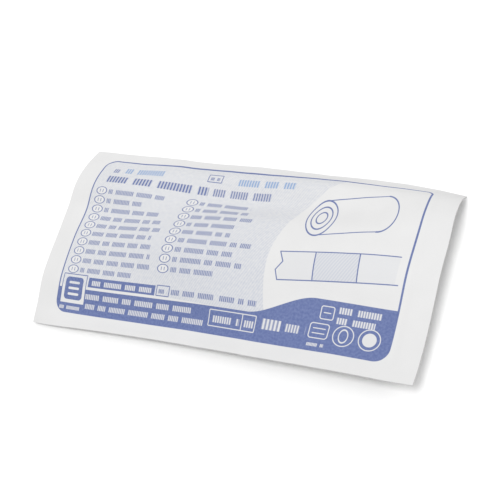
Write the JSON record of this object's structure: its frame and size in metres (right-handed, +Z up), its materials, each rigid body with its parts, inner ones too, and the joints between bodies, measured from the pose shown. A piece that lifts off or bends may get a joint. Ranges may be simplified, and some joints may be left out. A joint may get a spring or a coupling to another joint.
{
  "type": "first aid dressing in a sealed sachet",
  "caption": "Wound dressing with its rolled bandage, sealed in a flat paper sachet that lies on its back.",
  "frame": {"origin": "on the surface that the sachet lies on, under the middle of its outline", "axes": "+X along the sachet from its left end to its right end as the print reads, +Y across it towards the far long edge, +Z up through the printed face"},
  "size_m": [0.165, 0.0846, 0.0196],
  "materials": {
    "printed_paper": "smooth white coated paper printed in two blues",
    "plain_paper": "plain white uncoated paper",
    "gauze": "matt woven bandage, natural white",
    "compress": "matt soft white fleece"
  },
  "bodies": {
    "root": {"front_sheet": "printed_paper", "back_sheet": "plain_paper", "bandage_roll": "gauze", "wound_pad": "compress"}
  },
  "joints": []
}
